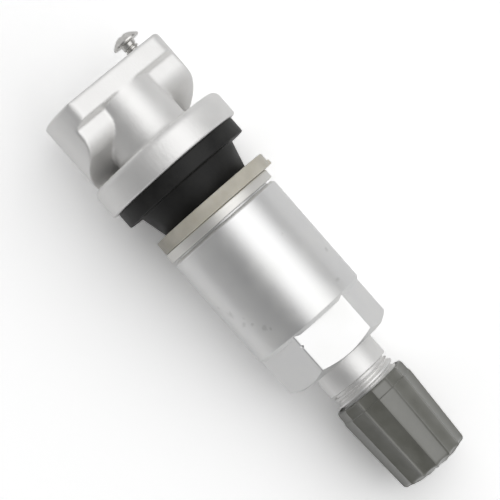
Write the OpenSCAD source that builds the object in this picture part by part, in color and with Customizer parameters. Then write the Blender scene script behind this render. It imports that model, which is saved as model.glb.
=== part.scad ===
// Clamp-in valve stem of a tyre pressure sensor, with its head screw, seals, sleeve nut, valve core and cap.
// The valve axis runs along X, with +X towards the cap and +Z away from the surface it lies on.
// The origin is on the valve axis, in the plane of the grommet face that seals on the inside of the rim.

/* [Head] */
// Radius of the round head
head_r = 8; // [7.6:0.05:8.6]
// Height of the head above the flange
head_h = 8.75; // [8.2:0.05:9.6]
// Thickness of the top plate at its front edge
plate_t = 2.35; // [1.8:0.05:2.8]
// Extra thickness of the top plate at the pocket floor, which slopes its underside
plate_draft = 0.4; // [0.1:0.05:0.7]
// Rounding of the top plate's rim
plate_edge = 0.35; // [0.15:0.05:0.6]
// Rounding of the two upright corners of the top plate
plate_corner = 1.3; // [0.4:0.05:1.8]
// Distance from the valve axis to the flat front of the top plate
front_flat = 4.65; // [4.4:0.05:5.2]
// Distance from the valve axis to the floor of the two pockets
pocket_floor = 3.35; // [2.8:0.05:3.9]
// Rounding of the upright edges of the pocket floors
pocket_edge = 0.4; // [0.2:0.05:0.8]
// Rounding of the lower front edge of the back mass
belly_r = 2.5; // [0.8:0.05:2.8]
// Slope of the underside of the back mass, in degrees
belly_slope = 24; // [14:0.5:30]
// Distance behind the valve axis where the underside leaves the flange
belly_start = 4.3; // [3.6:0.1:5]
// Radius of the neck between the pockets
neck_r = 4.6; // [4.2:0.05:4.8]
// Fillet where the neck meets the flange
neck_fillet = 0.6; // [0.2:0.05:0.9]
// Turn of the head's flat front about the valve axis, in degrees
head_turn = 23; // [0:1:45]

/* [Mounting screw] */
// Distance of the screw's axis from the head's rim
screw_edge = 2.7; // [2.4:0.05:3.1]
// Radius of the screw's thread
screw_r = 0.85; // [0.7:0.05:1]
// Length of the screw under its head
screw_len = 6; // [5:0.1:6.5]
// Radius of the screw's head
screw_head_r = 1.68; // [1.4:0.02:2]
// Height of the screw's head
screw_head_h = 1.1; // [0.9:0.05:1.4]
// Height of the upright rim of the screw's head
screw_rim_h = 0.25; // [0.15:0.05:0.4]
// How far the screw stands out of the head
screw_out = 1.4; // [0:0.05:1.8]
// Depth of the six-lobed recess
recess_depth = 0.6; // [0.4:0.05:0.7]
// Radius of the circle through the centres of the recess lobes
recess_r = 0.58; // [0.5:0.02:0.7]

/* [Flange] */
// Radius of the flange
flange_r = 8.65; // [8.3:0.05:9.2]
// Thickness of the flange
flange_t = 3.4; // [2.8:0.05:3.8]
// Rounding of the flange's upper rim
flange_edge = 0.85; // [0.5:0.05:1.4]
// Rounding of the flange's lower rim
flange_rim = 0.15; // [0.1:0.05:0.5]

/* [Stem] */
// Radius over the nut thread
stem_r = 4.5; // [4.3:0.05:4.7]
// Length of the nut thread, from the underside of the flange
stem_thread_len = 20.95; // [19:0.05:22]
// Chamfer at the end of the nut thread
stem_chamfer = 0.4; // [0.2:0.05:0.6]
// Radius of the plain end and over the cap thread
tip_r = 3.85; // [3.8:0.01:3.9]
// Length of the plain end
plain_len = 9; // [8.5:0.1:10]
// Width of the relief groove before the cap thread
relief_w = 0.45; // [0.3:0.05:0.9]
// Depth of the relief groove
relief_depth = 0.5; // [0.3:0.05:0.6]
// Length of the cap thread
tip_thread_len = 10.45; // [9:0.05:11]
// Chamfer where the cap thread begins at the relief groove
thread_lead = 0.2; // [0.1:0.05:0.5]
// Chamfer of the stem's mouth, outside
tip_chamfer = 0.45; // [0.2:0.05:0.6]
// Radius of the air passage
air_r = 1.2; // [0.9:0.05:1.4]

/* [Grommet] */
// Radius of the grommet's sealing flange
grommet_r = 8; // [7.6:0.05:8.4]
// Thickness of the grommet's sealing flange
grommet_flange_t = 1.95; // [1.6:0.05:2.6]
// Rounding of the grommet flange's rims
grommet_edge = 0.2; // [0.1:0.05:0.6]
// Radius of the grommet's neck at the sealing flange
neck_base_r = 6.4; // [6:0.05:6.8]
// Radius of the grommet's neck at its end
neck_end_r = 5.65; // [5.3:0.05:5.9]
// Length of the grommet's neck
neck_len = 3.1; // [2.5:0.05:4]

/* [Washers] */
// Radius of the nylon washer
nylon_r = 7.45; // [7:0.05:8]
// Bore radius of the nylon washer
nylon_bore_r = 5.15; // [5.05:0.05:5.3]
// Thickness of the nylon washer
nylon_t = 1.6; // [1.2:0.05:2.2]
// Sideways rest of the loose nylon washer on the stem
nylon_shift = 0.42; // [0:0.02:0.5]
// Radius of the moulding nib on the nylon washer's rim
nib_r = 0.3; // [0.2:0.05:0.5]
// Reach of the moulding nib past the rim
nib_out = 0.22; // [0.1:0.02:0.3]
// Radius of the metal slip ring
ring_r = 7.12; // [6.8:0.02:7.4]
// Thickness of the metal slip ring
ring_t = 1.1; // [0.9:0.05:1.6]
// Bevel of the slip ring's rims
ring_edge = 0.15; // [0.05:0.05:0.3]

/* [Sleeve nut] */
// Radius of the sleeve
sleeve_r = 7.05; // [6.95:0.05:7.3]
// Length of the sleeve
sleeve_len = 14.5; // [13.5:0.1:15]
// Chamfer of the sleeve at the slip ring
sleeve_chamfer = 0.5; // [0.2:0.05:0.8]
// Chamfer of the sleeve at the hexagon
sleeve_shoulder = 0.45; // [0.2:0.05:0.7]
// Width across the flats of the hexagon
hex_af = 12; // [11:0.1:12.4]
// Length of the hexagon
hex_len = 5; // [4.5:0.1:5.3]
// Turn of the hexagon's corners about the valve axis, in degrees
hex_turn = 39; // [0:1:60]
// Radius to which the end of the hexagon is chamfered
hex_face_r = 5.75; // [5.5:0.05:5.95]
// Bore radius of the nut's outer end
nut_exit_r = 4.05; // [3.95:0.01:4.1]

/* [Cap] */
// Radius of the cap's collar at its open end
cap_collar_r = 4.66; // [4.54:0.02:4.8]
// Length of the cap's collar
cap_collar_len = 1.4; // [1:0.05:2.2]
// Radius of the cap's body below the collar
cap_r = 4.74; // [4.6:0.02:4.9]
// Radius of the cap's body at its closed end
cap_end_r = 4.4; // [4.2:0.02:4.6]
// Length of the cap
cap_len = 11.35; // [10.9:0.05:12]
// Height of the cap's domed end
cap_dome = 0.45; // [0.2:0.05:0.6]
// Rounding of the cap's closed end
cap_edge = 0.6; // [0.4:0.05:1]
// Number of flutes round the cap
flutes = 14; // [12:1:16]
// Radius of the hollow of one flute
flute_r = 1.6; // [1.3:0.05:2]
// Depth of the flutes in the body
flute_depth = 0.3; // [0.1:0.02:0.34]
// Depth of the flutes in the collar
collar_flute_depth = 0.1; // [0.04:0.02:0.2]
// Thickness of the cap's end wall
cap_end_t = 1.3; // [0.9:0.05:1.6]
// Radius of the cap's sealing gasket
gasket_r = 3.5; // [3.2:0.05:3.8]
// Thickness of the cap's sealing gasket
gasket_t = 0.9; // [0.6:0.05:1.2]

/* [Valve core] */
// Radius of the core's threaded plug
plug_r = 2.58; // [2.5:0.01:2.6]
// Length of the core's threaded plug, without its key end
plug_len = 3.2; // [2.8:0.05:3.6]
// Length of the plug's flattened key end
key_len = 1.4; // [1:0.05:1.8]
// Radius of the plug's key end
key_r = 1.9; // [1.6:0.05:2.2]
// Width over the flats of the plug's key end
key_flats = 2.3; // [2:0.05:2.6]
// Radius of the plug's central hole
plug_bore_r = 0.78; // [0.7:0.01:0.85]
// How far the plug lies below the stem's mouth
plug_sink = 0.7; // [0.5:0.05:1]
// Radius of the core's barrel
barrel_r = 1.7; // [1.6:0.02:1.75]
// Length of the core's barrel
barrel_len = 7; // [6.5:0.1:7.5]
// Bore radius of the core's barrel
barrel_bore_r = 1.3; // [1.25:0.01:1.35]
// Radius of the barrel's collar under the plug
collar_r = 2.3; // [2.15:0.05:2.4]
// Thickness of the barrel's collar
collar_t = 0.5; // [0.4:0.05:0.6]
// Thickness of the barrel's bottom lip
lip_t = 0.25; // [0.2:0.05:0.4]
// Radius of the hole in the barrel's bottom lip
lip_r = 0.95; // [0.85:0.05:1]
// Length of the tapered packing ring
packing_len = 1.7; // [1.3:0.1:2]
// Radius of the narrow end of the packing's seat, and of the chamber below it
chamber_r = 2; // [1.9:0.02:2.1]
// Length of the packing's tapered seat in the stem
seat_len = 2; // [1.7:0.05:2.4]
// Radius of the valve pin
pin_r = 0.42; // [0.36:0.02:0.46]
// Radius of the pin's outer button
button_r = 0.62; // [0.54:0.02:0.66]
// Length of the pin's outer button
button_len = 0.4; // [0.3:0.05:0.5]
// How far the pin's button lies below the stem's mouth
pin_sink = 0.3; // [0.2:0.05:0.45]
// Radius of the pin's spring collar
spring_collar_r = 1.15; // [1.05:0.02:1.2]
// Thickness of the pin's spring collar
spring_collar_t = 0.4; // [0.3:0.05:0.5]
// Thickness of the spring's guide ring
guide_t = 0.45; // [0.3:0.05:0.6]
// Length of the fitted spring
spring_len = 3.2; // [2.8:0.1:3.4]
// Mean radius of the spring's coils
spring_r = 0.8; // [0.76:0.01:0.86]
// Radius of the spring's wire
wire_r = 0.13; // [0.1:0.01:0.15]
// Turns of the spring
spring_turns = 5; // [4:1:6]
// Radius of the core's cup
cup_r = 1.8; // [1.7:0.02:1.84]
// Height of the core's cup
cup_h = 1.2; // [1:0.05:1.4]
// Thickness of the cup's floor
cup_floor = 0.6; // [0.4:0.05:0.7]
// Thickness of the cup's wall
cup_wall = 0.22; // [0.15:0.01:0.3]
// Thickness of the cup's rubber seal
seal_t = 1; // [0.8:0.05:1.2]
// Travel of the pin when it is pressed
pin_travel = 1; // [0.6:0.05:1.2]

/* [Fits] */
// Gap between parts that seat on each other
seat_gap = 0.02; // [0.01:0.005:0.04]
// Radial clearance of parts that turn or slide on each other
run_gap = 0.05; // [0.03:0.01:0.08]
// Room left past the end of a thread
thread_runout = 0.8; // [0.4:0.1:1.2]

/* [Hidden] */
$fn = 96;

// Length by which a cut or a joined solid runs past the face it meets
over = 0.5;

// Places along the valve axis, measured from the sealing face of the grommet
z_seat = -grommet_flange_t;
z_flange = z_seat - flange_t;
z_head = z_flange - head_h;
z_plate = z_head + plate_t;
z_nylon = neck_len;
z_ring = z_nylon + nylon_t + seat_gap;
z_nut = z_ring + ring_t + seat_gap;
z_hex = z_nut + sleeve_len;
z_nut_end = z_hex + hex_len;
z_thread_end = z_seat + stem_thread_len;
z_relief = z_thread_end + plain_len;
z_tip = z_relief + relief_w + tip_thread_len;
z_gasket = z_tip + seat_gap;
z_cap_floor = z_gasket + gasket_t + seat_gap;
z_cap_end = z_cap_floor + cap_end_t;
z_cap = z_cap_end - cap_len;

// Places of the valve core, measured back from the stem's mouth
z_button = z_tip - pin_sink;
z_key = z_tip - plug_sink;
z_plug = z_key - key_len - plug_len;
z_barrel_top = z_plug - seat_gap;
z_packing_top = z_barrel_top - collar_t - seat_gap;
z_barrel = z_barrel_top - barrel_len;
z_guide = z_barrel + lip_t + seat_gap;
z_spring = z_guide + guide_t + seat_gap;
z_spring_collar = z_spring + spring_len + seat_gap;
z_seal = z_barrel - seat_gap - seal_t;
z_cup = z_seal - seat_gap - cup_floor;
z_chamber = z_cup - pin_travel - thread_runout;
z_taper_top = z_packing_top + seat_gap;
z_taper_bottom = z_taper_top - seat_len;

// Angle that points the front of the head at the chosen turn from straight up
head_angle = 180 - head_turn;
neck_offset = front_flat - neck_r;
screw_offset = head_r - screw_edge;
hex_angle = 180 - hex_turn;

// Radius of the core's tapered seat at a place along the axis
function seat_radius(z) =
    chamber_r + (plug_r + run_gap - chamber_r) * (z - z_taper_bottom) / seat_len;

// Radius of the cap's tapered body at a place along the axis
function cap_radius(z) =
    cap_r + (cap_end_r - cap_r) * (z - z_cap - cap_collar_len) / (cap_len - cap_collar_len);

// Lays what is turned about Z along the valve axis, X
module along_valve() {
    rotate([0, 90, 0]) children();
}

// Corner waste outside a small circle, between two directions from its centre
module corner_waste(centre, r, from, to) {
    reach = 3 * r;
    middle = (from + to) / 2;
    long = reach / cos((to - from) / 2);
    difference() {
        polygon([
            centre,
            centre + reach * [cos(from), sin(from)],
            centre + long * [cos(middle), sin(middle)],
            centre + reach * [cos(to), sin(to)]
        ]);
        translate(centre) circle(r);
    }
}

// Ring section with its outer corners rounded at the bottom and the top
module rounded_section(inner, outer, low, high, low_edge, high_edge) {
    difference() {
        translate([inner, low]) square([outer - inner, high - low]);
        corner_waste([outer - low_edge, low + low_edge], low_edge, -90, 0);
        corner_waste([outer - high_edge, high - high_edge], high_edge, 0, 90);
    }
}

// Round disc with one flat, whose two corners are rounded
module flat_disc(r, flat, edge) {
    corner = sqrt(pow(r - edge, 2) - pow(flat - edge, 2));
    turn = atan2(corner, flat - edge);
    difference() {
        intersection() {
            circle(r);
            translate([-2 * r, -2 * r]) square([2 * r + flat, 4 * r]);
        }
        corner_waste([flat - edge, corner], edge, 0, turn);
        corner_waste([flat - edge, -corner], edge, -turn, 0);
    }
}

// Side view of the head: top plate with its sloped underside, pocket floor and sloping belly
module head_outline() {
    rise = tan(belly_slope);
    back = head_r + over;
    corner_z = z_flange - (pocket_floor + belly_start) * rise;
    run = (pocket_floor + belly_start - belly_r * (1 - sin(belly_slope))) / cos(belly_slope);
    belly_z = z_flange - run * sin(belly_slope) - belly_r * cos(belly_slope);
    difference() {
        polygon([
            [-back, z_flange + over],
            [-belly_start, z_flange + over],
            [-belly_start, z_flange],
            [pocket_floor, corner_z],
            [pocket_floor, z_plate + plate_draft],
            [front_flat, z_plate],
            [front_flat, z_head],
            [-back, z_head]
        ]);
        corner_waste([pocket_floor - belly_r, belly_z], belly_r, 0, 90 - belly_slope);
        corner_waste([front_flat - plate_edge, z_head + plate_edge], plate_edge, -90, 0);
    }
}

// Back mass and top plate: a round body cut to the side view, with its upright edges rounded
module head_block() {
    intersection() {
        rotate_extrude() rounded_section(0, head_r, z_head, z_flange + over, plate_edge, 0.1);
        rotate([90, 0, 0]) linear_extrude(height = 3 * head_r, center = true) head_outline();
        union() {
            translate([0, 0, z_head - over])
                linear_extrude(height = plate_t + plate_draft + over)
                    flat_disc(head_r, front_flat, plate_corner);
            translate([0, 0, z_plate + plate_draft - over])
                linear_extrude(height = head_h - plate_t - plate_draft + 2 * over)
                    flat_disc(head_r, pocket_floor, pocket_edge);
        }
    }
}

// Round neck that stands flush with the plate's front, with a fillet on the flange
module neck() {
    translate([neck_offset, 0, 0]) {
        translate([0, 0, z_head + plate_edge])
            cylinder(r = neck_r, h = head_h - plate_edge + over);
        rotate_extrude() difference() {
            translate([0, z_flange - neck_fillet]) square([neck_r + neck_fillet, neck_fillet + over]);
            translate([neck_r + neck_fillet, z_flange - neck_fillet]) circle(neck_fillet);
        }
    }
}

// Outside of the stem: nut thread, plain end, relief groove and cap thread
module stem_outside() {
    relief_r = tip_r - relief_depth;
    rotate_extrude() polygon([
        [0, z_seat - over],
        [stem_r, z_seat - over],
        [stem_r, z_thread_end - stem_chamfer],
        [stem_r - stem_chamfer, z_thread_end],
        [tip_r, z_thread_end],
        [tip_r, z_relief],
        [relief_r, z_relief + relief_w / 4],
        [relief_r, z_relief + relief_w],
        [tip_r - thread_lead, z_relief + relief_w],
        [tip_r, z_relief + relief_w + thread_lead],
        [tip_r, z_tip - tip_chamfer],
        [tip_r - tip_chamfer, z_tip],
        [0, z_tip]
    ]);
}

// Air passage and the stepped chamber that takes the valve core
module stem_bore() {
    rotate_extrude() polygon([
        [0, z_head - over],
        [air_r, z_head - over],
        [air_r, z_chamber - (chamber_r - air_r)],
        [chamber_r, z_chamber],
        [chamber_r, z_taper_bottom],
        [plug_r + run_gap, z_taper_top],
        [plug_r + run_gap, z_tip + over],
        [0, z_tip + over]
    ]);
}

// Blind hole in the head for the mounting screw
module screw_hole() {
    translate([0, -screw_offset, z_head - over])
        cylinder(r = screw_r + run_gap / 2, h = over + screw_len + thread_runout / 2);
}

module valve_stem() {
    color("#cfcfcd") along_valve() difference() {
        union() {
            rotate([0, 0, head_angle]) head_block();
            rotate([0, 0, head_angle]) neck();
            rotate_extrude() rounded_section(0, flange_r, z_flange, z_seat, flange_edge, flange_rim);
            stem_outside();
        }
        stem_bore();
        rotate([0, 0, head_angle]) screw_hole();
    }
}

// Domed section of the screw's head, on its own axis, with the head's underside at zero
module screw_head_section() {
    dome_h = screw_head_h - screw_rim_h;
    dome_r = (pow(screw_head_r, 2) + pow(dome_h, 2)) / (2 * dome_h);
    translate([0, -screw_rim_h]) square([screw_head_r, screw_rim_h]);
    intersection() {
        translate([0, dome_r - screw_head_h]) circle(dome_r);
        translate([0, -screw_head_h]) square([screw_head_r, dome_h]);
    }
}

// Six-lobed driving recess
module recess() {
    lobe_r = recess_r / 4;
    linear_extrude(height = recess_depth + over) {
        circle(recess_r);
        for (turn = [0:60:300]) rotate(turn) translate([recess_r, 0]) circle(lobe_r);
    }
}

module mounting_screw() {
    underside = z_head - screw_out;
    tip_bevel = screw_r / 3;
    color("#9b9b96") along_valve() rotate([0, 0, head_angle])
        translate([0, -screw_offset, underside]) difference() {
            rotate_extrude() {
                screw_head_section();
                polygon([
                    [0, -screw_rim_h],
                    [screw_r, -screw_rim_h],
                    [screw_r, screw_len - tip_bevel],
                    [screw_r - tip_bevel, screw_len],
                    [0, screw_len]
                ]);
            }
            translate([0, 0, -screw_head_h - over]) recess();
        }
}

module grommet() {
    color("#1d1d1c") along_valve() rotate_extrude() difference() {
        union() {
            rounded_section(0, grommet_r, z_seat, 0, grommet_edge, grommet_edge);
            polygon([[0, -over], [neck_base_r, -over], [neck_base_r, 0], [neck_end_r, neck_len], [0, neck_len]]);
        }
        translate([0, z_seat - over]) square([stem_r + seat_gap, neck_len - z_seat + 2 * over]);
    }
}

module nylon_washer() {
    nib_turn = 90;
    color("#b3ada0") along_valve() translate([0, nylon_shift, z_nylon]) difference() {
        union() {
            cylinder(r = nylon_r, h = nylon_t);
            rotate([0, 0, nib_turn]) translate([nylon_r + nib_out - nib_r, 0, nylon_t - 2 * nib_r])
                cylinder(r = nib_r, h = 2 * nib_r);
        }
        translate([0, 0, -over]) cylinder(r = nylon_bore_r, h = nylon_t + 2 * over);
    }
}

module slip_ring() {
    bore_r = stem_r + run_gap;
    color("#c9c8c3") along_valve() rotate_extrude() polygon([
        [bore_r, z_ring],
        [ring_r - ring_edge, z_ring],
        [ring_r, z_ring + ring_edge],
        [ring_r, z_ring + ring_t - ring_edge],
        [ring_r - ring_edge, z_ring + ring_t],
        [bore_r, z_ring + ring_t]
    ]);
}

// Hexagon with its outer end chamfered all round
module nut_hexagon() {
    corner_r = hex_af / sqrt(3);
    slope = (corner_r - hex_face_r) / sqrt(3);
    intersection() {
        translate([0, 0, z_hex - over]) rotate([0, 0, hex_angle])
            cylinder(r = corner_r, h = hex_len + over, $fn = 6);
        rotate_extrude() polygon([
            [0, z_hex - over],
            [corner_r + over, z_hex - over],
            [corner_r + over, z_nut_end - slope - over / sqrt(3)],
            [hex_face_r, z_nut_end],
            [0, z_nut_end]
        ]);
    }
}

module sleeve_nut() {
    bore_r = stem_r + run_gap;
    bore_end = z_thread_end + thread_runout;
    mouth = bore_r + sleeve_chamfer;
    color("#d4d4d3") along_valve() difference() {
        union() {
            rotate_extrude() polygon([
                [0, z_nut],
                [sleeve_r - sleeve_chamfer, z_nut],
                [sleeve_r, z_nut + sleeve_chamfer],
                [sleeve_r, z_hex - sleeve_shoulder],
                [sleeve_r - sleeve_shoulder, z_hex],
                [0, z_hex]
            ]);
            nut_hexagon();
        }
        rotate_extrude() polygon([
            [0, z_nut - over],
            [mouth, z_nut - over],
            [mouth, z_nut],
            [bore_r, z_nut + sleeve_chamfer],
            [bore_r, bore_end],
            [nut_exit_r, bore_end],
            [nut_exit_r, z_nut_end + over],
            [0, z_nut_end + over]
        ]);
    }
}

// Section of the cap's outside: collar, tapered body, rounded end and low dome
module cap_section() {
    z_rim = z_cap_end - cap_dome;
    rim_r = cap_radius(z_rim);
    dome_r = (pow(cap_end_r, 2) + pow(cap_dome, 2)) / (2 * cap_dome);
    taper = atan2(cap_r - cap_end_r, cap_len - cap_collar_len);
    intersection() {
        difference() {
            polygon([
                [0, z_cap],
                [cap_collar_r, z_cap],
                [cap_collar_r, z_cap + cap_collar_len],
                [cap_r, z_cap + cap_collar_len],
                [cap_end_r, z_cap_end],
                [0, z_cap_end]
            ]);
            corner_waste([cap_collar_r - cap_edge / 2, z_cap + cap_edge / 2], cap_edge / 2, -90, 0);
            corner_waste([rim_r - cap_edge, z_rim - cap_edge / 2], cap_edge, taper, 90 - taper);
        }
        translate([0, z_cap_end - dome_r]) circle(dome_r, $fn = 360);
    }
}

// One flute of a given depth, cut along the cap's taper from a place to past the closed end
module flute(start, depth) {
    taper = atan2(cap_r - cap_end_r, cap_len - cap_collar_len);
    translate([cap_radius(start) + flute_r - depth, 0, start])
        rotate([0, -taper, 0]) cylinder(r = flute_r, h = cap_len + over);
}

module cap_shell() {
    bore_r = tip_r + run_gap;
    color("#6f6f66") along_valve() difference() {
        rotate_extrude() cap_section();
        for (index = [0:flutes - 1]) rotate([0, 0, 180 + (index + 0.5) * 360 / flutes]) {
            flute(z_cap + cap_collar_len, flute_depth);
            translate([0, 0, -cap_collar_len]) flute(z_cap + cap_collar_len, collar_flute_depth);
        }
        translate([0, 0, z_cap - over]) cylinder(r = bore_r, h = z_cap_floor - z_cap + over);
    }
}

module cap_gasket() {
    color("#2a2a28") along_valve() translate([0, 0, z_gasket]) cylinder(r = gasket_r, h = gasket_t);
}

module core_plug() {
    spigot_r = barrel_bore_r - seat_gap;
    spigot_len = collar_t + seat_gap;
    color("#b59a4c") along_valve() difference() {
        union() {
            translate([0, 0, z_plug]) cylinder(r = plug_r, h = plug_len);
            translate([0, 0, z_plug - spigot_len]) cylinder(r = spigot_r, h = spigot_len + over);
            intersection() {
                translate([0, 0, z_plug + plug_len - over]) cylinder(r = key_r, h = key_len + over);
                translate([-key_flats / 2, -plug_r, z_plug]) cube([key_flats, 2 * plug_r, plug_len + key_len]);
            }
        }
        translate([0, 0, z_plug - spigot_len - over]) cylinder(r = plug_bore_r, h = z_key - z_plug + spigot_len + 2 * over);
    }
}

module core_barrel() {
    color("#b59a4c") along_valve() rotate_extrude() polygon([
        [lip_r, z_barrel],
        [barrel_r, z_barrel],
        [barrel_r, z_barrel_top - collar_t],
        [collar_r, z_barrel_top - collar_t],
        [collar_r, z_barrel_top],
        [barrel_bore_r, z_barrel_top],
        [barrel_bore_r, z_barrel + lip_t],
        [lip_r, z_barrel + lip_t]
    ]);
}

module core_packing() {
    low = z_packing_top - packing_len;
    color("#8c2f26") along_valve() rotate_extrude() polygon([
        [barrel_r + seat_gap, low],
        [seat_radius(low) - seat_gap, low],
        [seat_radius(z_packing_top) - seat_gap, z_packing_top],
        [barrel_r + seat_gap, z_packing_top]
    ]);
}

module core_pin() {
    rivet_r = pin_r * 1.6;
    rivet_h = pin_r * 0.7;
    color("#c9b26a") along_valve() rotate_extrude() polygon([
        [0, z_cup - seat_gap - rivet_h],
        [rivet_r, z_cup - seat_gap - rivet_h],
        [rivet_r, z_cup - seat_gap],
        [pin_r, z_cup - seat_gap],
        [pin_r, z_spring_collar],
        [spring_collar_r, z_spring_collar],
        [spring_collar_r, z_spring_collar + spring_collar_t],
        [pin_r, z_spring_collar + spring_collar_t],
        [pin_r, z_button - button_len],
        [button_r, z_button - button_len],
        [button_r, z_button],
        [0, z_button]
    ]);
}

// Points of one ring of the spring's wire, at a share of the coil
function wire_ring(share, sides) = [
    for (side = [0:sides - 1])
        let (
            turn = 360 * spring_turns * share,
            around = 360 * side / sides,
            radius = spring_r + wire_r * cos(around)
        )
        [radius * cos(turn), radius * sin(turn), wire_r + (spring_len - 2 * wire_r) * share + wire_r * sin(around)]
];

module core_spring() {
    sides = 6;
    rings = 16 * spring_turns;
    points = [for (ring = [0:rings]) each wire_ring(ring / rings, sides)];
    walls = [
        for (ring = [0:rings - 1], side = [0:sides - 1])
            let (here = ring * sides, next = here + sides, step = (side + 1) % sides)
            [here + side, here + step, next + step, next + side]
    ];
    first = [[for (side = [sides - 1:-1:0]) side]];
    last = [[for (side = [0:sides - 1]) rings * sides + side]];
    color("#b9b9b4") along_valve() translate([0, 0, z_spring])
        polyhedron(points = points, faces = concat(first, walls, last), convexity = 8);
}

module core_spring_guide() {
    color("#b59a4c") along_valve() translate([0, 0, z_guide]) difference() {
        cylinder(r = barrel_bore_r - seat_gap, h = guide_t);
        translate([0, 0, -over]) cylinder(r = pin_r + run_gap, h = guide_t + 2 * over);
    }
}

module core_cup() {
    color("#b59a4c") along_valve() translate([0, 0, z_cup]) difference() {
        cylinder(r = cup_r, h = cup_h);
        translate([0, 0, cup_floor]) cylinder(r = cup_r - cup_wall, h = cup_h);
        translate([0, 0, -over]) cylinder(r = pin_r + seat_gap, h = cup_h + over);
    }
}

module core_cup_seal() {
    color("#2a2a28") along_valve() translate([0, 0, z_seal]) difference() {
        cylinder(r = cup_r - cup_wall - seat_gap, h = seal_t);
        translate([0, 0, -over]) cylinder(r = pin_r + seat_gap, h = seal_t + 2 * over);
    }
}

valve_stem();
mounting_screw();
grommet();
nylon_washer();
slip_ring();
sleeve_nut();
cap_shell();
cap_gasket();
core_plug();
core_barrel();
core_packing();
core_pin();
core_spring();
core_spring_guide();
core_cup();
core_cup_seal();
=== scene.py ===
import math

import bpy
from mathutils import Matrix, Vector


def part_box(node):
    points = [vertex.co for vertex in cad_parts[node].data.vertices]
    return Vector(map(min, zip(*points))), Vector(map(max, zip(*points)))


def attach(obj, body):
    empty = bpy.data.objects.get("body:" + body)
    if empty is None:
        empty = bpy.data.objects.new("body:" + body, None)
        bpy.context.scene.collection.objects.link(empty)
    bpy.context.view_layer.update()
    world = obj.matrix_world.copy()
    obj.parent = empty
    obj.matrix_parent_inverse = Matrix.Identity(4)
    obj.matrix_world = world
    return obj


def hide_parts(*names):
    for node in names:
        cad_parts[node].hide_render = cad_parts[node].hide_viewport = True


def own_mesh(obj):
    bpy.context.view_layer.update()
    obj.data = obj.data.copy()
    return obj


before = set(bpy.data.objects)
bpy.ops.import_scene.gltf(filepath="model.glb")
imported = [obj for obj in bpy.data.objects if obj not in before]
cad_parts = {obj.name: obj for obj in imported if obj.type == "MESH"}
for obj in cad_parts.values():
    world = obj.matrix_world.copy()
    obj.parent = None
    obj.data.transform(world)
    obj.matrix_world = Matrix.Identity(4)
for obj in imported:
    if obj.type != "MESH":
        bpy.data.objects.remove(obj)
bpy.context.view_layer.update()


# The camera: held almost straight above the valve, which lies on a white card with its cap towards the lower
# right corner of the picture. Every size and place in this file is written in millimetres.
MM = 0.001
camera_place = Vector((7.0, 0.13, 250.0)) * MM
camera_aim = Vector((10.2, 0.13, 0.0)) * MM
picture_up = Vector((-0.7524, 0.6587, 0.0))
view_width_deg = 12.33
camera_data = bpy.data.cameras.new("table_camera")
camera_data.sensor_fit = "HORIZONTAL"
camera_data.angle = math.radians(view_width_deg)
camera_data.clip_start = 10 * MM
camera_data.clip_end = 10000 * MM
table_camera = bpy.data.objects.new("table_camera", camera_data)
bpy.context.scene.collection.objects.link(table_camera)
looking = (camera_aim - camera_place).normalized()
picture_right = looking.cross(picture_up).normalized()
picture_top = picture_right.cross(looking)
camera_axes = Matrix((picture_right, picture_top, -looking)).transposed().to_4x4()
table_camera.matrix_world = Matrix.Translation(camera_place) @ camera_axes
bpy.context.scene.camera = table_camera


# The valve stem: one aluminium casting with a notched round head, a flange and a long stem. The head keeps
# its tumbled cast skin with soft edges. The flange's face, the stem and its two threads are turned, and the
# air passage and the mounting screw's hole are drilled.
flange_face_x = -1.95
stem_root = 1.5
stem_r = 4.5
nut_thread_start = 1.2
nut_thread_end_x = 19.0
nut_thread_run_out = 1.0
nut_thread_pitch = 1.0
nut_thread_depth = 0.55
tip_r = 3.85
tip_x = 38.9
tip_bevel = 0.45
relief_x = 28.0
relief_w = 0.45
relief_depth = 0.5
relief_lead = 0.2
cap_thread_start = 0.06
cap_thread_run_out = 0.8
cap_thread_pitch = 0.794
cap_thread_depth = 0.45
above_head_x = -16.0
air_passage_r = 1.2
core_chamber_r = 2.0
core_chamber_x = 23.1
core_seat_x = (31.06, 33.06)
core_bore_r = 2.63
mouth_bevel = 0.25
screw_hole_r = 0.88
hole_below_screw = 1.6
hole_point = 2.1
cast_grain = 0.13


def new_piece(name, points, faces):
    """A new object from points in millimetres and their faces, which run anticlockwise seen from outside."""
    mesh = bpy.data.meshes.new(name)
    mesh.from_pydata([tuple(c * MM for c in p) for p in points], [], faces)
    mesh.validate()
    piece = bpy.data.objects.new(name, mesh)
    bpy.context.scene.collection.objects.link(piece)
    return piece


def smooth_faces(piece, crease_deg=32):
    """Smooth shading, with every edge sharper than the crease kept crisp."""
    piece.data.polygons.foreach_set("use_smooth", [True] * len(piece.data.polygons))
    piece.data.set_sharp_from_angle(angle=math.radians(crease_deg))


def machined(piece, kind, **settings):
    """Runs one of Blender's modifiers on the piece and keeps the mesh that comes out."""
    step = piece.modifiers.new(kind.lower(), kind)
    for key, value in settings.items():
        setattr(step, key, value)
    shaped = bpy.data.meshes.new_from_object(piece.evaluated_get(bpy.context.evaluated_depsgraph_get()))
    piece.modifiers.clear()
    spent = piece.data
    piece.data = shaped
    shaped.name = piece.name
    bpy.data.meshes.remove(spent)


def cut_or_join(piece, tool, operation):
    """Cuts the tool out of the piece, joins the two, or keeps what they share. The tool is used up."""
    machined(piece, "BOOLEAN", operation=operation, solver="MANIFOLD", object=tool)
    bpy.data.objects.remove(tool)


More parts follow.
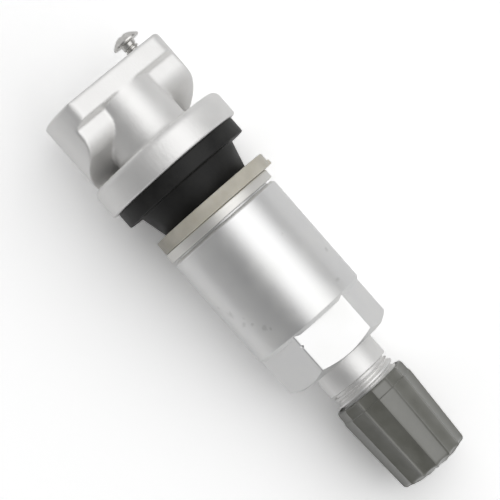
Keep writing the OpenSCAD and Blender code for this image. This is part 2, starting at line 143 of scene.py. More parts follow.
def eased(corners, steps=6):
    """A section (x, radius, rounding), with an arc in the place of each corner that has a rounding."""
    section = []
    for i, (x, r, rounding) in enumerate(corners):
        here = Vector((x, r))
        if rounding == 0:
            section.append(here)
            continue
        back = (Vector(corners[i - 1][:2]) - here).normalized()
        on = (Vector(corners[(i + 1) % len(corners)][:2]) - here).normalized()
        half = back.angle(on) / 2
        centre = here + (back + on).normalized() * (rounding / math.sin(half))
        start = here + back * (rounding / math.tan(half)) - centre
        end = here + on * (rounding / math.tan(half)) - centre
        swing = start.angle_signed(end)
        for k in range(steps + 1):
            turn = -swing * k / steps
            section.append(centre + Vector((
                start.x * math.cos(turn) - start.y * math.sin(turn),
                start.x * math.sin(turn) + start.y * math.cos(turn))))
    return section


def turned(name, section, around=160):
    """A piece turned about the valve's axis from its closed section of (x, radius) points.

    The section starts on the head's side, at the axis or the bore, and runs outwards first."""
    points, faces, rows = [], [], []
    for x, r in section:
        if r < 1e-6:
            rows.append([len(points)] * around)
            points.append((x, 0.0, 0.0))
            continue
        rows.append(list(range(len(points), len(points) + around)))
        for k in range(around):
            turn = 2 * math.pi * k / around
            points.append((x, r * math.sin(turn), r * math.cos(turn)))
    for i, row in enumerate(rows):
        following = rows[(i + 1) % len(rows)]
        for k in range(around):
            corners = [row[k], following[k], following[(k + 1) % around], row[(k + 1) % around]]
            corners = [c for j, c in enumerate(corners) if c not in corners[:j]]
            if len(corners) > 2:
                faces.append(corners)
    return new_piece(name, points, faces)


def thread_groove(name, x_from, x_to, pitch, crest_r, depth, inside=False):
    """The right-handed wedge that a threading tool takes away, shallow where the tool runs in and out.

    It points towards the axis, or away from it for an inside thread."""
    steps_a_turn = 56
    clear_of_crest = 0.12
    run_in = 1.6
    first_bite = 0.02
    flank_slope = 0.577
    half_root = 0.06 * pitch
    way = -1 if inside else 1
    lip_r = crest_r + way * clear_of_crest
    count = int((x_to - x_from) / pitch * steps_a_turn)
    rows, faces = [], []
    for k in range(count + 1):
        turn = 2 * math.pi * k / steps_a_turn
        x = x_from + pitch * k / steps_a_turn
        bite = min(1.0, run_in * min(k, count - k) / steps_a_turn + first_bite)
        root_r = lip_r - way * (depth + clear_of_crest) * bite
        half_lip = half_root + flank_slope * (depth + clear_of_crest) * bite
        for dx, r in ((-half_lip, lip_r), (-half_root, root_r), (half_root, root_r), (half_lip, lip_r)):
            rows.append((x + way * dx, -r * math.sin(turn), r * math.cos(turn)))
    for k in range(count):
        a, b = 4 * k, 4 * k + 4
        for j in range(4):
            faces.append((a + j, a + (j + 1) % 4, b + (j + 1) % 4, b + j))
    faces.append((3, 2, 1, 0))
    faces.append(tuple(4 * count + j for j in range(4)))
    return new_piece(name, rows, faces)


cast_head = bpy.data.objects.new("stem_casting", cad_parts["valve_stem"].data.copy())
bpy.context.scene.collection.objects.link(cast_head)
machined(cast_head, "WELD", merge_threshold=0.002 * MM)
face_cut_x = flange_face_x - 0.002
saw_block = turned("saw_block", [
    (flange_face_x - 20, 0),
    (flange_face_x - 20, 14),
    (face_cut_x, 14),
    (face_cut_x, 0)], 48)
cut_or_join(cast_head, saw_block, "INTERSECT")
machined(cast_head, "REMESH", mode="VOXEL", voxel_size=cast_grain * MM, use_smooth_shade=True)
machined(cast_head, "SMOOTH", factor=0.5, iterations=7)

stem_bar = turned("stem_bar", eased([
    (flange_face_x - stem_root, 0, 0),
    (flange_face_x - stem_root, stem_r, 0),
    (nut_thread_end_x, stem_r, 0.35),
    (nut_thread_end_x, tip_r, 0),
    (relief_x, tip_r, 0.1),
    (relief_x + relief_w / 4, tip_r - relief_depth, 0.1),
    (relief_x + relief_w, tip_r - relief_depth, 0),
    (relief_x + relief_w, tip_r - relief_lead, 0),
    (relief_x + relief_w + relief_lead, tip_r, 0),
    (tip_x - tip_bevel, tip_r, 0.1),
    (tip_x, tip_r - tip_bevel, 0.1),
    (tip_x, 0, 0)]), 128)
nut_thread_tool = thread_groove(
    "nut_thread_tool", flange_face_x + nut_thread_start, nut_thread_end_x + nut_thread_run_out,
    nut_thread_pitch, stem_r, nut_thread_depth)
cut_or_join(stem_bar, nut_thread_tool, "DIFFERENCE")
cap_thread_tool = thread_groove(
    "cap_thread_tool", relief_x + cap_thread_start, tip_x + cap_thread_run_out,
    cap_thread_pitch, tip_r, cap_thread_depth)
cut_or_join(stem_bar, cap_thread_tool, "DIFFERENCE")
cut_or_join(cast_head, stem_bar, "UNION")

core_drill = turned("core_drill", [
    (above_head_x, 0),
    (above_head_x, air_passage_r),
    (core_chamber_x - (core_chamber_r - air_passage_r), air_passage_r),
    (core_chamber_x, core_chamber_r),
    (core_seat_x[0], core_chamber_r),
    (core_seat_x[1], core_bore_r),
    (tip_x - mouth_bevel, core_bore_r),
    (tip_x + 1, core_bore_r + (1 + mouth_bevel)),
    (tip_x + 1, 0)], 96)
cut_or_join(cast_head, core_drill, "DIFFERENCE")

screw_low, screw_high = (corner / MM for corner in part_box("mounting_screw"))
screw_y = (screw_low.y + screw_high.y) / 2
screw_z = (screw_low.z + screw_high.z) / 2
screw_axis = Matrix.Translation((0, screw_y * MM, screw_z * MM))
screw_drill = turned("screw_drill", [
    (screw_low.x, 0),
    (screw_low.x, screw_hole_r),
    (screw_high.x + hole_below_screw, screw_hole_r),
    (screw_high.x + hole_point, 0)], 48)
screw_drill.data.transform(screw_axis)
cut_or_join(cast_head, screw_drill, "DIFFERENCE")
smooth_faces(cast_head, 35)


def new_finish(name, metallic, roughness):
    """A material with one shader, and the two numbers that it starts from."""
    finish = bpy.data.materials.new(name)
    finish.use_nodes = True
    shader = finish.node_tree.nodes["Principled BSDF"]
    shader.inputs["Metallic"].default_value = metallic
    shader.inputs["Roughness"].default_value = roughness
    return finish


def shader_step(finish, kind, inputs, **settings):
    """Adds one node to the material. Each input is a number or another node's output."""
    step = finish.node_tree.nodes.new(kind)
    for key, value in settings.items():
        setattr(step, key, value)
    for key, value in inputs.items():
        if isinstance(value, bpy.types.NodeSocket):
            finish.node_tree.links.new(value, step.inputs[key])
        else:
            step.inputs[key].default_value = value
    return step


def feed(finish, output, name):
    """Links an output to one of the shader's sockets."""
    finish.node_tree.links.new(output, finish.node_tree.nodes["Principled BSDF"].inputs[name])


def skin(finish, size_mm, detail=4.0, stretch=(1, 1, 1)):
    """Uneven grey fixed to the piece, whose patches are about size_mm across."""
    place = shader_step(finish, "ShaderNodeTexCoord", {})
    spread = shader_step(finish, "ShaderNodeMapping", {"Vector": place.outputs["Object"], "Scale": stretch})
    grain = {"Vector": spread.outputs["Vector"], "Scale": 1.0 / (size_mm * MM), "Detail": detail}
    return shader_step(finish, "ShaderNodeTexNoise", grain).outputs["Fac"]


def between(finish, mask, mask_low, mask_high, low, high):
    """A number that runs from low to high while the mask runs from mask_low to mask_high."""
    inputs = {"Value": mask, 1: mask_low, 2: mask_high, 3: low, 4: high}
    return shader_step(finish, "ShaderNodeMapRange", inputs).outputs["Result"]


def two_colours(finish, mask, first, second):
    """The first colour where the mask is 0 and the second where it is 1."""
    mix = shader_step(finish, "ShaderNodeMix", {"Factor": mask}, data_type="RGBA")
    for socket, colour in ((mix.inputs[6], first), (mix.inputs[7], second)):
        if isinstance(colour, bpy.types.NodeSocket):
            finish.node_tree.links.new(colour, socket)
        else:
            socket.default_value = (*colour, 1.0)
    return mix.outputs[2]


def patchy(finish, mask):
    """The mask with its darker and lighter patches set further apart."""
    return between(finish, mask, 0.35, 0.65, 0.0, 1.0)


def paint(finish, mask, first, second):
    """Colours the piece with the first colour where the mask is 0 and the second where it is 1."""
    feed(finish, two_colours(finish, mask, first, second), "Base Color")


def relief(finish, height, depth_mm, under=None):
    """Raises the surface by up to depth_mm where the height is 1."""
    inputs = {"Height": height, "Distance": depth_mm * MM, "Strength": 1.0}
    if under is not None:
        inputs["Normal"] = under
    return shader_step(finish, "ShaderNodeBump", inputs).outputs["Normal"]


def coat(piece, finish):
    """Gives the piece one finish all over."""
    piece.data.materials.clear()
    piece.data.materials.append(finish)
    piece.data.polygons.foreach_set("material_index", [0] * len(piece.data.polygons))


cast_aluminium = new_finish("cast_aluminium", 1.0, 0.5)
patches = skin(cast_aluminium, 3.0)
paint(cast_aluminium, patchy(cast_aluminium, patches), (0.90, 0.895, 0.885), (0.94, 0.935, 0.925))
feed(cast_aluminium, between(cast_aluminium, patches, 0.3, 0.7, 0.46, 0.56), "Roughness")
fine_grain = skin(cast_aluminium, 0.25, 6.0)
tumbled = relief(cast_aluminium, patches, 0.05)
feed(cast_aluminium, relief(cast_aluminium, fine_grain, 0.012, tumbled), "Normal")
coat(cast_head, cast_aluminium)
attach(cast_head, "stem")
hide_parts("valve_stem")


# The valve core: a turned brass plug and barrel with a pin, a spring and a rubber-faced cup, screwed into
# the stem's mouth. Its red packing ring seals it on a tapered seat.
core_brass = new_finish("core_brass", 1.0, 0.3)
tool_lines = skin(core_brass, 0.05, 2.0, (1.0, 0.02, 0.02))
paint(core_brass, skin(core_brass, 0.8), (0.62, 0.46, 0.18), (0.80, 0.64, 0.30))
feed(core_brass, between(core_brass, tool_lines, 0.3, 0.7, 0.22, 0.4), "Roughness")
feed(core_brass, relief(core_brass, tool_lines, 0.01), "Normal")
for node in ("core_plug", "core_barrel", "core_pin", "core_spring_guide", "core_cup"):
    coat(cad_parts[node], core_brass)

packing_red = new_finish("packing_red", 0.0, 0.55)
paint(packing_red, skin(packing_red, 0.5), (0.35, 0.06, 0.05), (0.50, 0.11, 0.08))
feed(packing_red, relief(packing_red, skin(packing_red, 0.1), 0.01), "Normal")
coat(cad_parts["core_packing"], packing_red)

seal_rubber = new_finish("seal_rubber", 0.0, 0.6)
paint(seal_rubber, skin(seal_rubber, 0.4), (0.018, 0.018, 0.018), (0.040, 0.040, 0.038))
feed(seal_rubber, relief(seal_rubber, skin(seal_rubber, 0.08), 0.01), "Normal")
coat(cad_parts["core_cup_seal"], seal_rubber)

spring_low, spring_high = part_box("core_spring")
coil_start = spring_low.x / MM
coil_length = (spring_high.x - spring_low.x) / MM
coil_r = 0.8
wire_r = 0.13
coil_turns = 5
closed_turns = 0.8
closed_climb = 0.12
wire_sides = 12
coil_steps = coil_turns * 40
coil_points, coil_faces = [], []
for k in range(coil_steps + 1):
    along = k / coil_steps
    turn = 2 * math.pi * coil_turns * along
    rise = min(1.0, max(0.0, (along * coil_turns - closed_turns) / (coil_turns - 2 * closed_turns)))
    climb = closed_climb * along + (1 - closed_climb) * rise
    for j in range(wire_sides):
        around = 2 * math.pi * j / wire_sides
        r = coil_r + wire_r * math.cos(around)
        x = coil_start + wire_r + (coil_length - 2 * wire_r) * climb + wire_r * math.sin(around)
        coil_points.append((x, r * math.sin(turn), r * math.cos(turn)))
for k in range(coil_steps):
    for j in range(wire_sides):
        a, b = k * wire_sides, (k + 1) * wire_sides
        coil_faces.append((a + j, a + (j + 1) % wire_sides, b + (j + 1) % wire_sides, b + j))
coil_faces.append(tuple(reversed(range(wire_sides))))
coil_faces.append(tuple(coil_steps * wire_sides + j for j in range(wire_sides)))
core_coil = new_piece("core_coil", coil_points, coil_faces)
smooth_faces(core_coil)
spring_wire = new_finish("spring_wire", 1.0, 0.3)
paint(spring_wire, skin(spring_wire, 0.3), (0.45, 0.45, 0.44), (0.66, 0.66, 0.65))
feed(spring_wire, between(spring_wire, skin(spring_wire, 0.1), 0.3, 0.7, 0.25, 0.4), "Roughness")
coat(core_coil, spring_wire)
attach(core_coil, "stem")
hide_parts("core_spring")
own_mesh(core_coil)


# The grommet: a moulded black rubber seal that slips over the stem against the flange. Its round flange seals
# on the inside of the rim, and its tapered neck fills the valve hole.
grommet_bore_r = stem_r + 0.02
grommet_flange_r = 8.0
neck_base_r = 6.45
neck_end_r = 5.65
neck_end_x = 3.1


def set_socket(finish, name, value):
    """Sets one of the shader's sockets to a value that is the same all over the surface."""
    finish.node_tree.nodes["Principled BSDF"].inputs[name].default_value = value


grommet_skin = turned("grommet_skin", eased([
    (flange_face_x, grommet_bore_r, 0.15),
    (flange_face_x, grommet_flange_r, 0.18),
    (0, grommet_flange_r, 0.18),
    (0, neck_base_r, 0.3),
    (neck_end_x, neck_end_r, 0.15),
    (neck_end_x, grommet_bore_r, 0.15)]))
smooth_faces(grommet_skin)
grommet_rubber = new_finish("grommet_rubber", 0.0, 0.45)
bloom = skin(grommet_rubber, 2.0)
dusty = between(grommet_rubber, bloom, 0.35, 0.7, 0.0, 1.0)
paint(grommet_rubber, dusty, (0.010, 0.010, 0.010), (0.022, 0.022, 0.021))
feed(grommet_rubber, between(grommet_rubber, bloom, 0.3, 0.7, 0.38, 0.55), "Roughness")
set_socket(grommet_rubber, "Specular IOR Level", 0.3)
feed(grommet_rubber, relief(grommet_rubber, skin(grommet_rubber, 0.15), 0.01), "Normal")
coat(grommet_skin, grommet_rubber)
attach(grommet_skin, "stem")
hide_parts("grommet")


# The nylon washer: a moulded, slightly see-through beige ring, loose on the stem between the rim and the slip
# ring. It sits a little to one side and keeps the nib where it was cut from its moulding.
nylon_x = (3.1, 4.7)
nylon_r = 7.45
nylon_bore_r = 5.15
nylon_shift = 0.42
nib_r = 0.3
nib_inset = 0.02
nib_sunk = 0.08
nylon_ring = turned("nylon_ring", eased([
    (nylon_x[0], nylon_bore_r, 0.1),
    (nylon_x[0], nylon_r, 0.14),
    (nylon_x[1], nylon_r, 0.14),
    (nylon_x[1], nylon_bore_r, 0.1)]))
nib = turned("nib", eased([
    (nylon_x[1] - 2 * nib_r, 0, 0),
    (nylon_x[1] - 2 * nib_r, nib_r, 0.08),
    (nylon_x[1] - nib_inset, nib_r, 0.08),
    (nylon_x[1] - nib_inset, 0, 0)]), 32)
nib.data.transform(Matrix.Translation((0, (nylon_r - nib_sunk) * MM, 0)))
cut_or_join(nylon_ring, nib, "UNION")
nylon_ring.data.transform(Matrix.Translation((0, nylon_shift * MM, 0)))
smooth_faces(nylon_ring)
beige_nylon = new_finish("beige_nylon", 0.0, 0.42)
cloud = skin(beige_nylon, 2.5)
paint(beige_nylon, patchy(beige_nylon, cloud), (0.57, 0.54, 0.46), (0.68, 0.65, 0.57))
feed(beige_nylon, relief(beige_nylon, skin(beige_nylon, 0.3), 0.012), "Normal")
set_socket(beige_nylon, "Subsurface Weight", 0.35)
set_socket(beige_nylon, "Subsurface Radius", (1.0, 0.9, 0.7))
set_socket(beige_nylon, "Subsurface Scale", 0.8 * MM)
coat(nylon_ring, beige_nylon)
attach(nylon_ring, "stem")
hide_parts("nylon_washer")


# The slip ring: a thin ring turned from aluminium, loose on the stem between the nylon washer and the nut. It
# goes along with the nut, and lets the nut turn without dragging the nylon washer round.
slip_x = (4.72, 5.82)
slip_r = 7.12
slip_bore_r = 4.55
slip_disc = turned("slip_disc", eased([
    (slip_x[0], slip_bore_r, 0.08),
    (slip_x[0], slip_r, 0.15),
    (slip_x[1], slip_r, 0.15),
    (slip_x[1], slip_bore_r, 0.08)]))
smooth_faces(slip_disc)
slip_metal = new_finish("slip_metal", 1.0, 0.36)
turning = skin(slip_metal, 0.06, 2.0, (1.0, 0.03, 0.03))
paint(slip_metal, skin(slip_metal, 2.0), (0.80, 0.79, 0.76), (0.88, 0.87, 0.84))
feed(slip_metal, between(slip_metal, turning, 0.3, 0.7, 0.4, 0.54), "Roughness")
feed(slip_metal, relief(slip_metal, turning, 0.008), "Normal")
coat(slip_disc, slip_metal)
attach(slip_disc, "ring")
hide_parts("slip_ring")


# The sleeve nut: a long aluminium nut, turned from hexagon bar with a thread inside. It pulls the flange
# against the rim. Its sleeve is satin anodised, with a few faint specks. Handling has left a nick in one
# corner of the hexagon.
nut_x = 5.84
hex_x = 20.34
nut_end_x = 25.34
sleeve_r = 7.05
sleeve_bevel = 0.45
seam_w = 0.2
seam_depth = 0.85
seam_edge = 0.35
seam_lead = 0.5
nut_bore_r = 4.55
nut_bore_bevel = 0.4
nut_bore_end_x = nut_thread_end_x + 0.8
nut_inside_start = 0.5
nut_inside_end_x = nut_thread_end_x + 0.4
nut_inside_depth = 0.5
nut_exit_r = 4.05
nut_exit_bevel = 0.25
hex_af = 12.0
hex_corner_r = hex_af / math.sqrt(3)
hex_turn_deg = 39.0
hex_face_r = 5.75
hex_edge = 0.12
nick_x = 21.4
nick_proud = 0.02

nut_body = turned("nut_body", eased([
    (nut_x, 0, 0),
    (nut_x, sleeve_r - seam_depth, 0),
    (nut_x + seam_w, sleeve_r - seam_depth, 0),
    (nut_x + seam_w, sleeve_r - seam_edge, 0.05),
    (nut_x + seam_lead, sleeve_r, 0.25),
    (hex_x - sleeve_bevel, sleeve_r, 0.2),
    (hex_x, sleeve_r - sleeve_bevel, 0.1),
    (hex_x, 0, 0)]), 192)

hex_points = []
for x in (hex_x - 1.0, nut_end_x):
    for k in range(6):
        turn = math.radians(hex_turn_deg + 60 * k)
        hex_points.append((x, hex_corner_r * math.sin(turn), hex_corner_r * math.cos(turn)))
hex_ends = [(0, 1, 2, 3, 4, 5), (11, 10, 9, 8, 7, 6)]
hex_flats = [(k, k + 6, (k + 1) % 6 + 6, (k + 1) % 6) for k in range(6)]
hex_bar = new_piece("hex_bar", hex_points, hex_ends + hex_flats)
machined(
    hex_bar, "BEVEL", width=hex_edge * MM, segments=3, limit_method="ANGLE", angle_limit=math.radians(40))
corner_drop = (hex_corner_r - hex_face_r) / math.sqrt(3)
hex_lathe = turned("hex_lathe", eased([
    (hex_x - 2, 0, 0),
    (hex_x - 2, hex_corner_r + 1, 0),
    (nut_end_x - corner_drop - 1 / math.sqrt(3), hex_corner_r + 1, 0),
    (nut_end_x, hex_face_r, 0.15),
    (nut_end_x, 0, 0)]), 192)
cut_or_join(hex_bar, hex_lathe, "INTERSECT")
cut_or_join(nut_body, hex_bar, "UNION")

nick_tool = turned("nick_tool", [(-0.25, 0), (0, 0.3), (0.35, 0)], 12)
nick_turn = math.radians(hex_turn_deg - 60)
nick_r = hex_corner_r + nick_proud
nick_place = Vector((nick_x, nick_r * math.sin(nick_turn), nick_r * math.cos(nick_turn))) * MM
nick_tool.data.transform(Matrix.Translation(nick_place))
cut_or_join(nut_body, nick_tool, "DIFFERENCE")

nut_drill = turned("nut_drill", [
    (nut_x - 1, 0),
    (nut_x - 1, nut_bore_r + nut_bore_bevel),
    (nut_x, nut_bore_r + nut_bore_bevel),
    (nut_x + nut_bore_bevel, nut_bore_r),
    (nut_bore_end_x, nut_bore_r),
    (nut_bore_end_x, nut_exit_r),
    (nut_end_x - nut_exit_bevel, nut_exit_r),
    (nut_end_x + 0.5, nut_exit_r + (0.5 + nut_exit_bevel)),
    (nut_end_x + 0.5, 0)], 128)
cut_or_join(nut_body, nut_drill, "DIFFERENCE")
nut_inside_thread = thread_groove(
    "nut_inside_thread", nut_x - nut_inside_start, nut_inside_end_x,
    nut_thread_pitch, nut_bore_r, nut_inside_depth, True)
cut_or_join(nut_body, nut_inside_thread, "DIFFERENCE")
smooth_faces(nut_body, 28)


def marks(finish, places):
    """1 in small ragged marks at the places (x, y, z, radius) in millimetres, fading to 0 outside them."""
    here = shader_step(finish, "ShaderNodeTexCoord", {}).outputs["Object"]
    torn = {"Vector": here, "Scale": 2500.0, "Detail": 4.0}
    ragged = shader_step(finish, "ShaderNodeTexNoise", torn).outputs["Fac"]
    mask = 0.0
    for x, y, z, r in places:
        centre = {0: here, 1: (x * MM, y * MM, z * MM)}
        far = shader_step(finish, "ShaderNodeVectorMath", centre, operation="DISTANCE").outputs["Value"]
        uneven = {0: ragged, 1: -4.0 * r * MM, 2: far}
        edge = shader_step(finish, "ShaderNodeMath", uneven, operation="MULTIPLY_ADD").outputs["Value"]
        mark = between(finish, edge, -1.9 * r * MM, -0.6 * r * MM, 1.0, 0.0)
        both = {0: mask, 1: mark}
        mask = shader_step(finish, "ShaderNodeMath", both, operation="MAXIMUM").outputs["Value"]
    return mask


satin_anodised = new_finish("satin_anodised", 1.0, 0.4)
sheen = skin(satin_anodised, 4.0)
feed(satin_anodised, between(satin_anodised, sheen, 0.3, 0.7, 0.36, 0.44), "Roughness")
feed(satin_anodised, relief(satin_anodised, skin(satin_anodised, 0.12, 3.0), 0.006), "Normal")
silver_patches = patchy(satin_anodised, sheen)
plain_silver = two_colours(satin_anodised, silver_patches, (0.86, 0.86, 0.86), (0.90, 0.90, 0.89))
specks = (
    (14.1, -6.0, 0.39), (15.6, -5.6, 0.286), (15.1, -5.2, 0.156), (16.3, -4.9, 0.195), (17.3, -4.2, 0.364),
    (17.8, -3.7, 0.156), (18.6, 5.1, 0.26), (15.4, 6.3, 0.325), (11.0, 3.8, 0.195), (12.6, -6.5, 0.182))
speck_places = [(x, y, math.sqrt(sleeve_r ** 2 - y ** 2), r) for x, y, r in specks]
paint(satin_anodised, marks(satin_anodised, speck_places), plain_silver, (0.75, 0.75, 0.74))
coat(nut_body, satin_anodised)
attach(nut_body, "nut")
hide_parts("sleeve_nut")


# The cap: a moulded grey-olive plastic cap, screwed over the stem's tip against a soft black rubber gasket.
# It has 14 narrow ridges with hollow facets between them, a slightly narrower collar at its open end and a
# slightly domed closed end.
cap_x = 29.79
cap_end_x = 41.14
cap_lip = 0.35
cap_collar_len = 1.25
cap_step_len = 0.16
cap_body_start = 1.45
cap_collar_r = 4.62
cap_body_r = 4.74
cap_end_r = 4.36
cap_edge = 0.6
cap_dome = 0.35
cap_flutes = 14
flute_r = 5.0
collar_hollow = 0.22
end_hollow = 0.28
edge_hollow = 0.34
ridge_softness = 0.04
bead_h = 0.035
bead_w = 0.1
cap_bore_r = 3.9
cap_bore_bevel_len = 0.3
cap_bore_bevel_h = 0.35
cap_floor_x = 39.84
cap_inside_start = 0.6
cap_inside_end = 1.2
cap_inside_depth = 0.13


def cap_outline():
    """The cap's outside, from the open end to the middle of the closed end.

    Each row is (x, radius, hollow depth, lean). The lean is the share of a hollow that is cut along the axis
    instead of towards it, on the rounded end."""
    rows = []
    for k in range(6, -1, -1):
        turn = math.radians(90 * k / 6)
        r = cap_collar_r - cap_lip * (1 - math.cos(turn))
        rows.append((cap_x + cap_lip * (1 - math.sin(turn)), r, collar_hollow, 0.0))
    for k in range(1, 9):
        x = cap_x + cap_lip + (cap_collar_len - cap_lip) * k / 8
        rows.append((x, cap_collar_r, collar_hollow, 0.0))
    for k in range(1, 9):
        share = k / 8
        ease = share * share * (3 - 2 * share)
        r = cap_collar_r + (cap_body_r - cap_collar_r) * ease
        rows.append((cap_x + cap_collar_len + cap_step_len * share, r, collar_hollow, 0.0))
    body_start, body_end = cap_x + cap_body_start, cap_end_x - cap_dome - cap_edge
    for k in range(1, 25):
        share = k / 24
        r = cap_body_r + (cap_end_r - cap_body_r) * share
        hollow = collar_hollow + (end_hollow - collar_hollow) * share
        rows.append((body_start + (body_end - body_start) * share, r, hollow, 0.0))
    for k in range(1, 13):
        turn = math.radians(90 * k / 12)
        r = cap_end_r - cap_edge * (1 - math.cos(turn))
        hollow = end_hollow + (edge_hollow - end_hollow) * k / 12
        rows.append((body_end + cap_edge * math.sin(turn), r, hollow, math.sin(turn)))
    for k in range(1, 15):
        share = 1 - k / 15
        r = (cap_end_r - cap_edge) * share
        rows.append((cap_end_x - cap_dome * share ** 2, r, edge_hollow * share ** 2, 1.0))
    return rows


def flute_hollow(turn, r, depth):
    """How deep the hollow between two ridges is at an angle. It is less than 0 on the bead along a ridge."""
    spacing = 2 * math.pi / cap_flutes
    off = ((turn / spacing) % 1.0 - 0.5) * spacing
    centre = r + flute_r - depth
    cut = r - centre * math.cos(off) + math.sqrt(flute_r ** 2 - (centre * math.sin(off)) ** 2)
    from_ridge = (spacing / 2 - abs(off)) * r
    bead = bead_h * min(1.0, depth / 0.2) * math.exp(-(from_ridge / bead_w) ** 2)
    return ridge_softness * math.log(1 + math.exp(cut / ridge_softness)) - bead


around_cap = cap_flutes * 40
cap_points, cap_faces = [], []
outside = cap_outline()
for x, r, depth, lean in outside:
    for k in range(around_cap):
        turn = 2 * math.pi * k / around_cap
        cut = flute_hollow(turn, cap_end_r, depth) * min(1.0, r) if depth > 0.001 else 0.0
        fluted = r - cut * math.sqrt(1 - lean ** 2)
        cap_points.append((x - cut * lean, fluted * math.sin(turn), fluted * math.cos(turn)))
bore_start_x = cap_x + cap_bore_bevel_len
bore_steps = 24
inside = [(cap_x, cap_bore_r + cap_bore_bevel_h), (bore_start_x, cap_bore_r)]
for k in range(1, bore_steps + 1):
    inside.append((bore_start_x + (cap_floor_x - bore_start_x) * k / bore_steps, cap_bore_r))
for x, r in inside:
    for k in range(around_cap):
        turn = 2 * math.pi * k / around_cap
        cap_points.append((x, r * math.sin(turn), r * math.cos(turn)))
end_centre = len(cap_points)
floor_centre = end_centre + 1
cap_points += [(cap_end_x, 0, 0), (cap_floor_x, 0, 0)]

outside_rows = len(outside)
total_rows = outside_rows + len(inside)
for i in list(range(outside_rows - 1)) + list(range(outside_rows, total_rows - 1)):
    for k in range(around_cap):
        a, b = i * around_cap + k, i * around_cap + (k + 1) % around_cap
        c, d = b + around_cap, a + around_cap
        cap_faces.append((d, c, b, a) if i < outside_rows else (a, b, c, d))
inner = outside_rows * around_cap
last = inner - around_cap
floor_row = (total_rows - 1) * around_cap
for a in range(around_cap):
    b = (a + 1) % around_cap
    cap_faces.append((a, b, inner + b, inner + a))
    cap_faces.append((last + b, last + a, end_centre))
    cap_faces.append((floor_row + a, floor_row + b, floor_centre))
fluted_cap = new_piece("fluted_cap", cap_points, cap_faces)
cap_inside_thread = thread_groove(
    "cap_inside_thread", cap_x - cap_inside_start, cap_floor_x - cap_inside_end,
    cap_thread_pitch, cap_bore_r, cap_inside_depth, True)
cut_or_join(fluted_cap, cap_inside_thread, "DIFFERENCE")
smooth_faces(fluted_cap, 40)
cap_plastic = new_finish("cap_plastic", 0.0, 0.36)
haze = skin(cap_plastic, 1.6)
paint(cap_plastic, patchy(cap_plastic, haze), (0.095, 0.095, 0.074), (0.125, 0.125, 0.103))
feed(cap_plastic, between(cap_plastic, haze, 0.3, 0.7, 0.30, 0.42), "Roughness")
set_socket(cap_plastic, "Specular IOR Level", 1.0)
set_socket(cap_plastic, "Coat Weight", 1.0)
set_socket(cap_plastic, "Coat Roughness", 0.3)
set_socket(cap_plastic, "Coat IOR", 1.7)
feed(cap_plastic, relief(cap_plastic, skin(cap_plastic, 0.2), 0.01), "Normal")
coat(fluted_cap, cap_plastic)
coat(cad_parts["cap_gasket"], seal_rubber)
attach(fluted_cap, "cap")
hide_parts("cap_shell")


# The mounting screw: a small nickel-plated steel screw with a domed head and a six-lobed recess, still half
# driven into the head's round top. On the real wheel it holds the sensor's housing.
screw_head_r = (screw_high.y - screw_low.y) / 2
screw_shank_r = 0.85
screw_head_h = 1.1
screw_rim_h = 0.25
screw_len = 6.0
screw_neck = 0.1
screw_bevel = 0.28
screw_x = screw_high.x - screw_len
screw_top_x = screw_x - screw_head_h
screw_pitch = 0.4
screw_thread_depth = 0.2
screw_thread_start = 0.25
screw_thread_run_out = 0.3
lobe_r = 0.68
lobe_swell = 0.13
lobe_depth = 0.65

dome_steps = 10
dome_sections = []
for k in range(dome_steps + 1):
    r = screw_head_r * k / dome_steps
    dome_sections.append((screw_top_x + (screw_head_h - screw_rim_h) * (k / dome_steps) ** 2, r, 0))
pan_screw = turned("pan_screw", eased(dome_sections + [
    (screw_x - 0.02, screw_head_r, 0.06),
    (screw_x, screw_shank_r + screw_neck, 0),
    (screw_x + screw_neck, screw_shank_r, 0),
    (screw_high.x - screw_bevel, screw_shank_r, 0),
    (screw_high.x, screw_shank_r - screw_bevel, 0),
    (screw_high.x, 0, 0)]), 72)
screw_thread_tool = thread_groove(
    "screw_thread_tool", screw_x + screw_thread_start, screw_high.x + screw_thread_run_out,
    screw_pitch, screw_shank_r, screw_thread_depth)
cut_or_join(pan_screw, screw_thread_tool, "DIFFERENCE")

lobe_steps = 48
lobe_points = []
for x in (screw_top_x - 0.3, screw_top_x + lobe_depth):
    for k in range(lobe_steps):
        turn = 2 * math.pi * k / lobe_steps
        r = lobe_r + lobe_swell * math.cos(6 * turn)
        lobe_points.append((x, r * math.sin(turn), r * math.cos(turn)))
lobe_faces = [tuple(range(lobe_steps)), tuple(reversed(range(lobe_steps, 2 * lobe_steps)))]
for a in range(lobe_steps):
    b = (a + 1) % lobe_steps
    lobe_faces.append((a, a + lobe_steps, b + lobe_steps, b))
cut_or_join(pan_screw, new_piece("lobed_punch", lobe_points, lobe_faces), "DIFFERENCE")
pan_screw.data.transform(screw_axis)
smooth_faces(pan_screw)
screw_nickel = new_finish("screw_nickel", 1.0, 0.22)
wear = skin(screw_nickel, 0.5)
paint(screw_nickel, patchy(screw_nickel, wear), (0.58, 0.57, 0.55), (0.78, 0.77, 0.75))
feed(screw_nickel, between(screw_nickel, wear, 0.3, 0.7, 0.16, 0.32), "Roughness")
coat(pan_screw, screw_nickel)
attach(pan_screw, "screw")
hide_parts("mounting_screw")


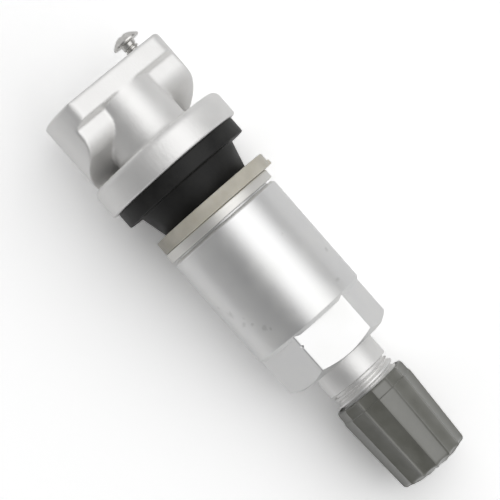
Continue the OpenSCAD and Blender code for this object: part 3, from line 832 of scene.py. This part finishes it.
# The table: a plain white card. The valve lies on the rims of its flange and its sleeve nut, so the card
# meets both and lies at a slight angle to the valve's axis. Its colour is brightest where the camera sees it,
# less bright in the metal's reflections, and darkest in the light that it throws back.
card_half = 900
card_at_flange = Vector((flange_face_x, -8.67))
card_at_sleeve = Vector((hex_x - sleeve_bevel, -sleeve_r - 0.02))
card_rise = (card_at_sleeve.y - card_at_flange.y) / (card_at_sleeve.x - card_at_flange.x)
card_corners = (
    (-card_half, -card_half), (card_half, -card_half), (card_half, card_half), (-card_half, card_half))
card_points = [(x, y, card_at_flange.y + card_rise * (x - card_at_flange.x)) for x, y in card_corners]
ground = new_piece("ground", card_points, [(0, 1, 2, 3)])
white_card = new_finish("white_card", 0.0, 0.9)
set_socket(white_card, "Specular IOR Level", 0.0)
path = shader_step(white_card, "ShaderNodeLightPath", {})
seen_by = {0: path.outputs["Is Glossy Ray"], 1: 0.5, 2: path.outputs["Is Camera Ray"]}
seen = shader_step(white_card, "ShaderNodeMath", seen_by, operation="MULTIPLY_ADD")
paint(white_card, seen.outputs["Value"], (0.42, 0.42, 0.42), (1.55, 1.55, 1.55))
coat(ground, white_card)


# The light: one soft panel above the far side of the valve, in a room whose walls are dim on the near side
# and pale on the far side. The round metal shows one broad soft highlight from them, beside a darker band.
def soft_panel(name, place, size, brightness):
    """A square soft light aimed at the valve. Its brightness is that of its face, where 1 is white."""
    data = bpy.data.lights.new(name, "AREA")
    data.shape = "SQUARE"
    data.size = size * MM
    data.energy = brightness * math.pi * (size * MM) ** 2
    panel = bpy.data.objects.new(name, data)
    bpy.context.scene.collection.objects.link(panel)
    spot = Vector(place) * MM
    facing_valve = (camera_aim - spot).to_track_quat("-Z", "Y").to_matrix().to_4x4()
    panel.matrix_world = Matrix.Translation(spot) @ facing_valve


soft_panel("far_side_panel", (12, 200, 325), 360, 0.48)
studio = bpy.data.worlds.new("studio")
studio.use_nodes = True
bpy.context.scene.world = studio
room = studio.node_tree
facing = room.nodes.new("ShaderNodeTexCoord")
axes = room.nodes.new("ShaderNodeSeparateXYZ")
room.links.new(facing.outputs["Generated"], axes.inputs["Vector"])
tilt = room.nodes.new("ShaderNodeMath")
tilt.operation = "ARCTAN2"
room.links.new(axes.outputs["Y"], tilt.inputs[0])
room.links.new(axes.outputs["Z"], tilt.inputs[1])
share = room.nodes.new("ShaderNodeMapRange")
share.inputs[1].default_value = -math.pi / 2
share.inputs[2].default_value = math.pi / 2
room.links.new(tilt.outputs[0], share.inputs[0])
walls = room.nodes.new("ShaderNodeValToRGB")
room.links.new(share.outputs[0], walls.inputs[0])
walls.color_ramp.interpolation = "EASE"
# The walls' tones run from the near side's horizon at 0, over straight up at 0.5, to the far side's at 1.
tones = (
    (0.0, 0.36), (0.10, 0.38), (0.20, 0.32), (0.30, 0.24), (0.43, 0.22),
    (0.52, 0.89), (0.70, 0.90), (0.83, 0.78), (0.93, 0.35))
while len(walls.color_ramp.elements) < len(tones):
    walls.color_ramp.elements.new(0.5)
for stop, (at, tone) in zip(walls.color_ramp.elements, tones):
    stop.position = at
    stop.color = (tone, tone, tone, 1.0)
room.links.new(walls.outputs[0], room.nodes["Background"].inputs["Color"])
room.nodes["Background"].inputs["Strength"].default_value = 1.0
bpy.context.scene.view_settings.view_transform = "Standard"
